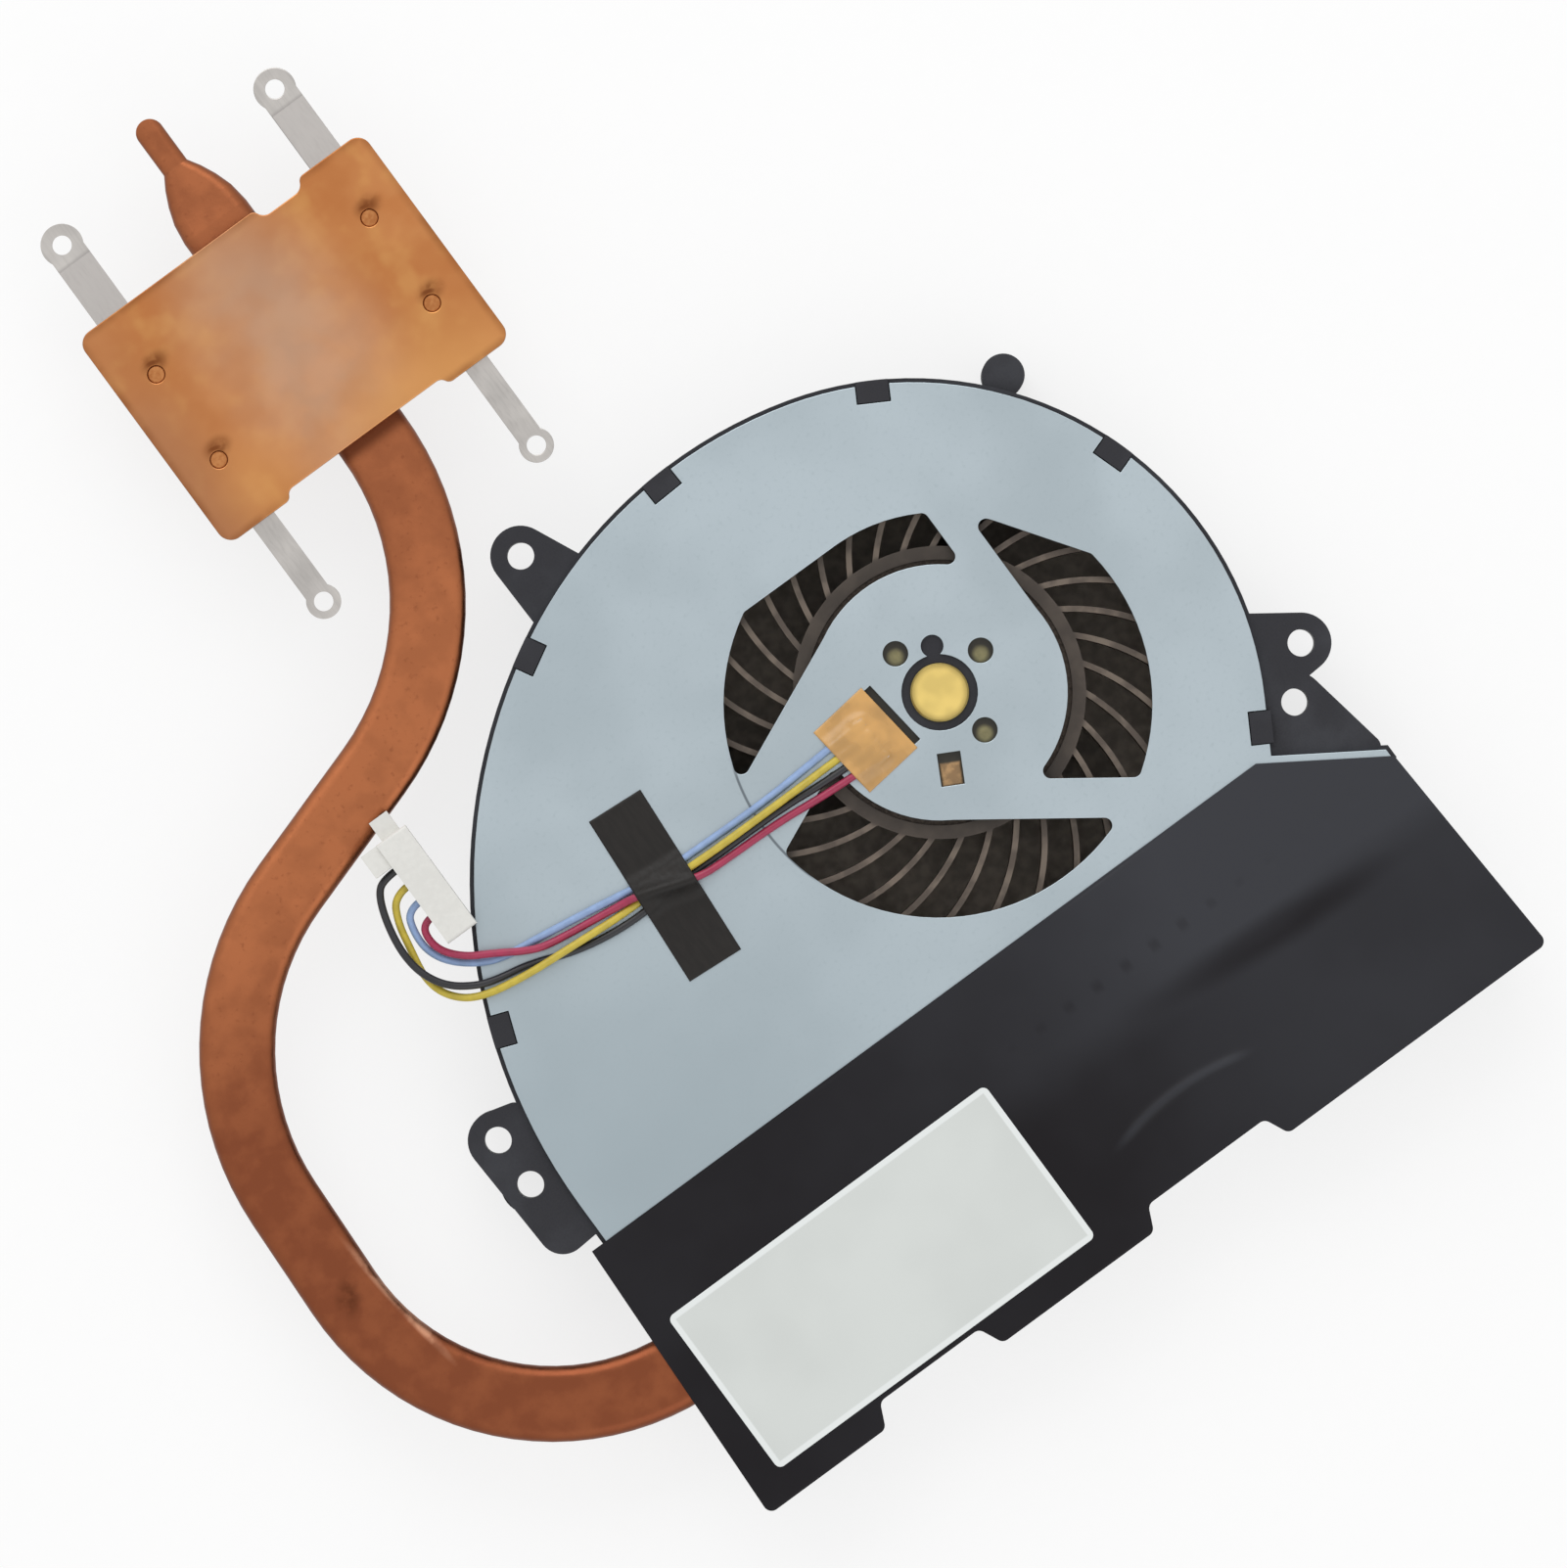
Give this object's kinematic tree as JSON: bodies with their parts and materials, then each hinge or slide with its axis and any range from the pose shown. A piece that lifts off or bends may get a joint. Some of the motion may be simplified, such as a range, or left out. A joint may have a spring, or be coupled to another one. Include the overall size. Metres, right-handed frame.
{
  "type": "laptop cooling fan heatsink",
  "caption": "Thin blower fan with a steel cover, a bent flat heat pipe from its outlet fins to a spring-loaded copper cold plate, and a short wired connector.",
  "frame": {"origin": "on the fan's axis, in the plane of the case's outside floor", "axes": "+X along the fin stack, +Y from the fins towards the cold plate, +Z out of the steel cover"},
  "size_m": [0.1252, 0.1527, 0.0142],
  "materials": {
    "black_plastic": "fine moulded texture",
    "brown_plastic": "smooth moulded",
    "zinc_steel": "zinc plated, satin",
    "brass": "turned",
    "bronze": "sintered",
    "nylon": "natural",
    "board": "solder mask",
    "core_steel": "laminated",
    "enamel_wire": "enamelled copper",
    "solder": "solder",
    "shaft_steel": "ground",
    "ferrite": "bonded",
    "fin_aluminium": "rolled",
    "copper_pipe": "oxidised copper",
    "copper_plate": "bare copper",
    "spring_steel": "rolled",
    "black_film": "matt film",
    "amber_film": "polyimide film",
    "label": "blank, matt",
    "wire_red": "insulation",
    "wire_blue": "insulation",
    "wire_black": "insulation",
    "wire_yellow": "insulation",
    "tin": "tinned"
  },
  "bodies": {
    "frame": {"fan_housing": "black_plastic", "housing_floor": "black_plastic", "fan_cover": "zinc_steel", "motor_base": "black_plastic", "motor_board": "board", "bearing_tube": "brass", "bearing_sleeve": "bronze", "thrust_washer": "nylon", "stator_core": "core_steel", "stator_coils": "enamel_wire", "solder_joints": "solder", "fin_stack": "fin_aluminium", "heat_pipe": "copper_pipe", "cold_plate": "copper_plate", "spring_rivets": "copper_plate", "spring_strip_left": "spring_steel", "spring_strip_right": "spring_steel", "shroud_tape": "black_film", "blank_label": "label", "wire_tape": "black_film", "solder_tape": "amber_film", "fan_wire_red": "wire_red", "fan_wire_blue": "wire_blue", "fan_wire_black": "wire_black", "fan_wire_yellow": "wire_yellow", "connector_housing": "nylon", "connector_terminals": "tin"},
    "rotor": {"impeller": "brown_plastic", "rotor_yoke": "shaft_steel", "ring_magnet": "ferrite", "rotor_shaft": "shaft_steel"}
  },
  "joints": [
    {"name": "impeller_spin", "type": "hinge", "parent": "frame", "child": "rotor", "pos_m": [0, 0, 0], "axis": [0, 0, 1], "continuous": true}
  ]
}
